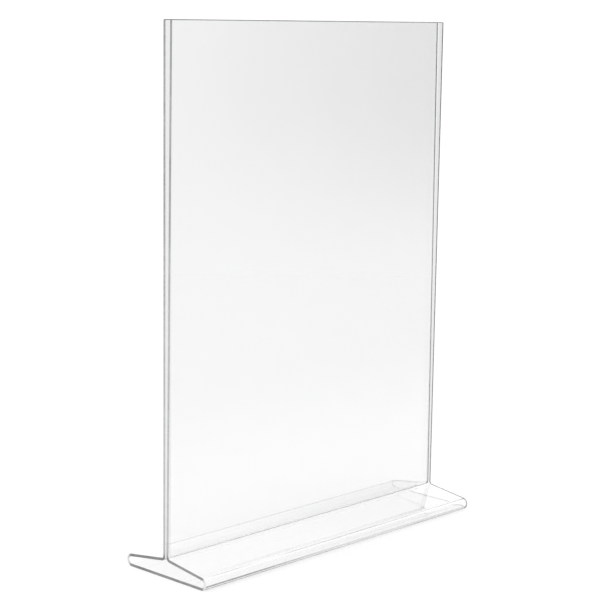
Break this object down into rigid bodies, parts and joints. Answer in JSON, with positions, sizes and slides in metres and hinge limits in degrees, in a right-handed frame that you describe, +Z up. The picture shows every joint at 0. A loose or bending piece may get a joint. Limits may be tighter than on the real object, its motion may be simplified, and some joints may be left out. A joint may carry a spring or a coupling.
{
  "type": "acrylic sign holder",
  "caption": "Free-standing clear acrylic T-base holder: mirrored bent sheets form an upright double-sided card pocket over a low hollow foot.",
  "frame": {"origin": "middle of the underside, on the seam between the two sheets, at the level of the table", "axes": "+X along the width of the pocket, +Y from the front sheet to the back sheet, +Z up"},
  "size_m": [0.216, 0.062, 0.292],
  "materials": {
    "clear_acrylic": "clear, polished faces with satin cut edges"
  },
  "bodies": {
    "root": {"front_sheet": "clear_acrylic", "back_sheet": "clear_acrylic"}
  },
  "joints": []
}
